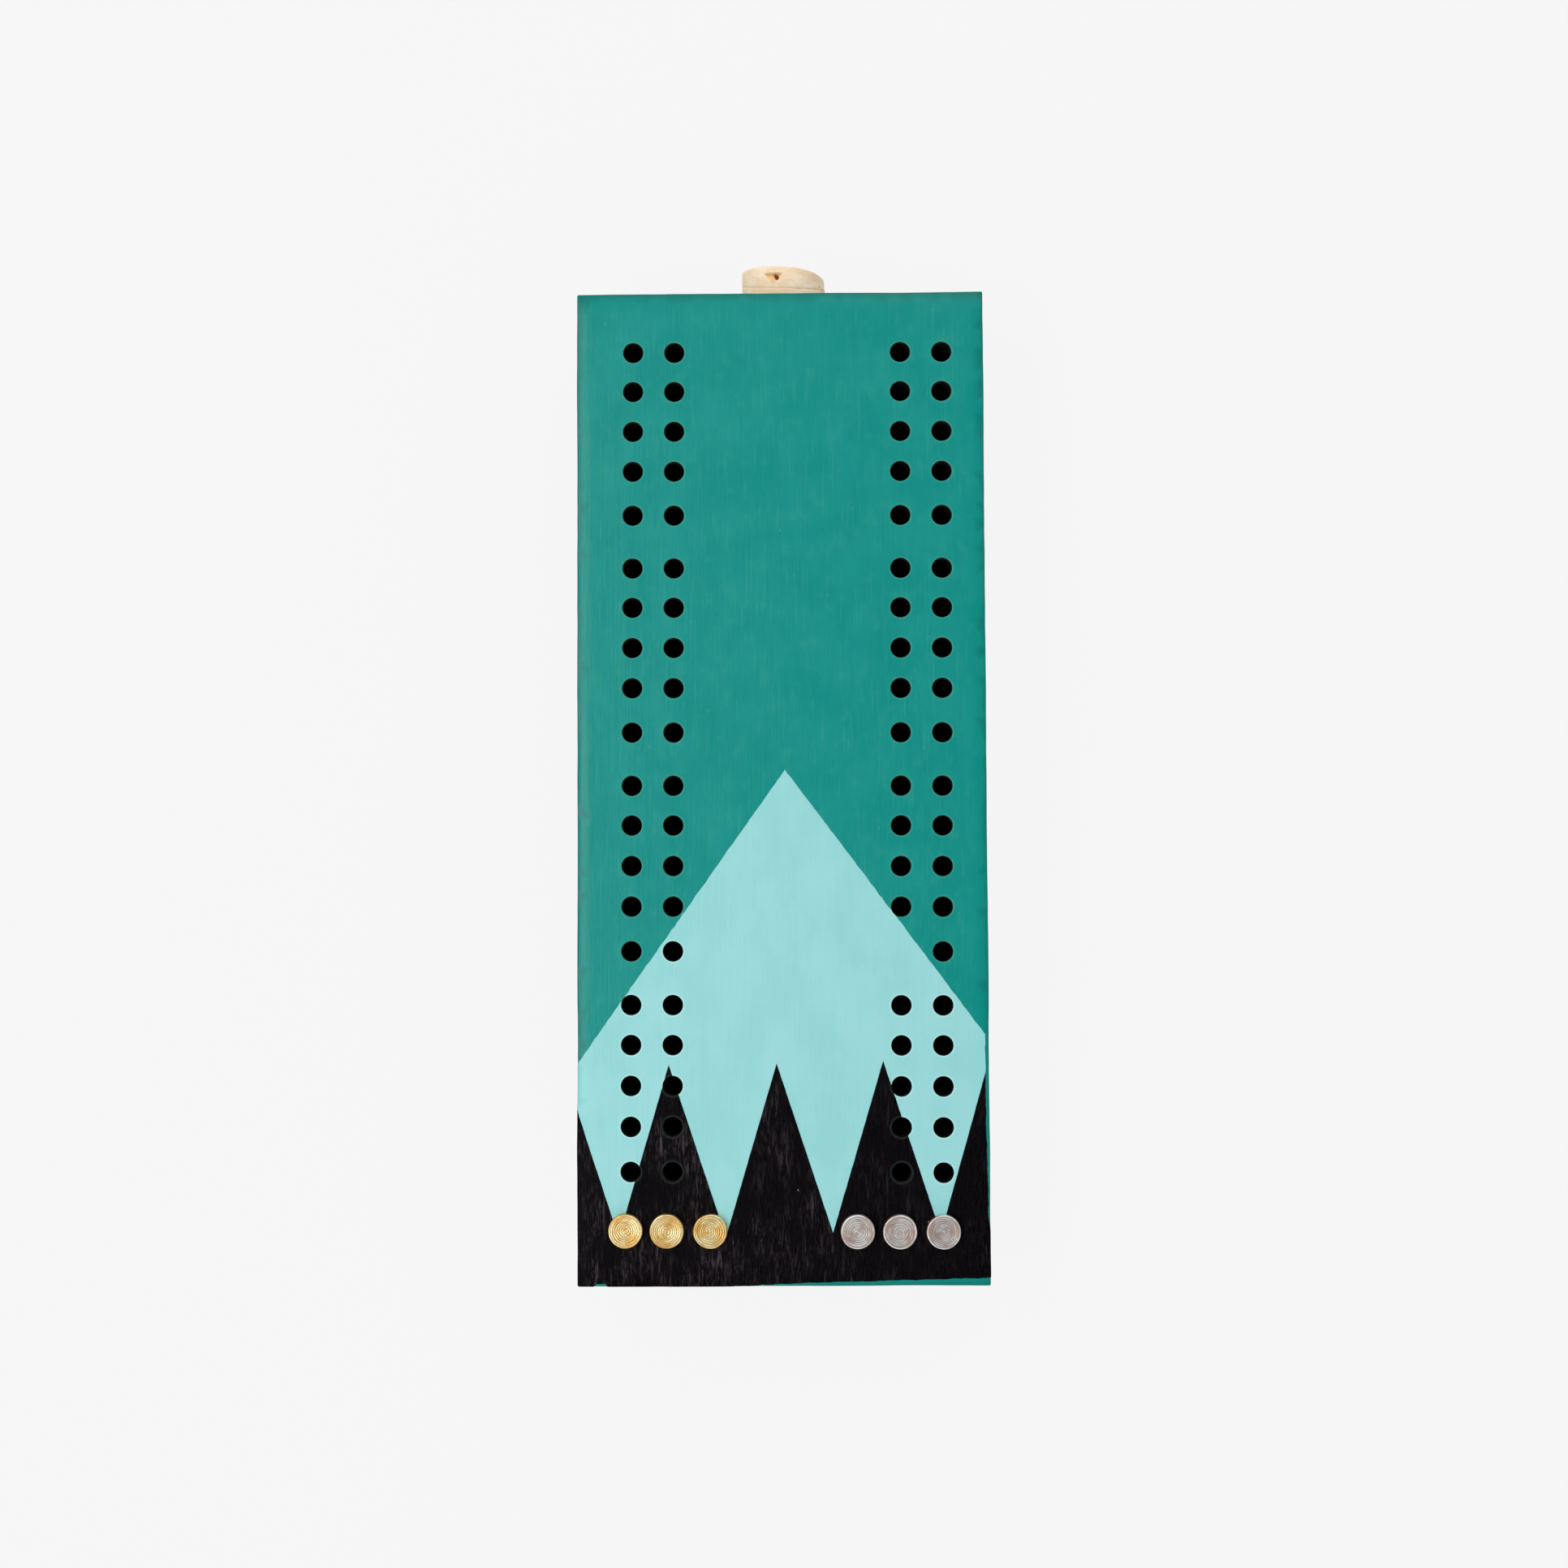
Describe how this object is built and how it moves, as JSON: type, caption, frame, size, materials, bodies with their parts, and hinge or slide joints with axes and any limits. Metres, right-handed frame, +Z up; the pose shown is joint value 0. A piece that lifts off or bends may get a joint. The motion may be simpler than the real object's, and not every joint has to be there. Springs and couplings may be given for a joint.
{
  "type": "cribbage board",
  "caption": "Painted wooden cribbage board with drilled scoring rows, parked brass and steel pegs, and a corked storage bore in one end.",
  "frame": {"origin": "the middle of the flat underside that the board rests on", "axes": "+X across the board, +Y along it towards the corked end, +Z up through the painted playing face"},
  "size_m": [0.1028, 0.2567, 0.04],
  "materials": {
    "teal_paint": "satin teal paint brushed on wood",
    "aqua_paint": "satin pale aqua paint",
    "black_paint": "satin black stain that shows the grain",
    "bare_wood": "bare drilled wood",
    "cork": "natural cork",
    "brass": "turned brass",
    "steel": "turned steel"
  },
  "bodies": {
    "board": {"board": "teal_paint"},
    "cork_stopper": {"cork_stopper": "cork"},
    "brass_peg_1": {"brass_peg_1": "brass"},
    "brass_peg_2": {"brass_peg_2": "brass"},
    "brass_peg_3": {"brass_peg_3": "brass"},
    "steel_peg_1": {"steel_peg_1": "steel"},
    "steel_peg_2": {"steel_peg_2": "steel"},
    "steel_peg_3": {"steel_peg_3": "steel"}
  },
  "joints": [
    {"name": "cork_pull", "type": "slide", "parent": "board", "child": "cork_stopper", "axis": [0, 1, 0], "range_m": [0, 0.022]},
    {"name": "brass_peg_1_lift", "type": "slide", "parent": "board", "child": "brass_peg_1", "axis": [0, 0, 1], "range_m": [0, 0.02]},
    {"name": "brass_peg_2_lift", "type": "slide", "parent": "board", "child": "brass_peg_2", "axis": [0, 0, 1], "range_m": [0, 0.02]},
    {"name": "brass_peg_3_lift", "type": "slide", "parent": "board", "child": "brass_peg_3", "axis": [0, 0, 1], "range_m": [0, 0.02]},
    {"name": "steel_peg_1_lift", "type": "slide", "parent": "board", "child": "steel_peg_1", "axis": [0, 0, 1], "range_m": [0, 0.02]},
    {"name": "steel_peg_2_lift", "type": "slide", "parent": "board", "child": "steel_peg_2", "axis": [0, 0, 1], "range_m": [0, 0.02]},
    {"name": "steel_peg_3_lift", "type": "slide", "parent": "board", "child": "steel_peg_3", "axis": [0, 0, 1], "range_m": [0, 0.02]}
  ]
}
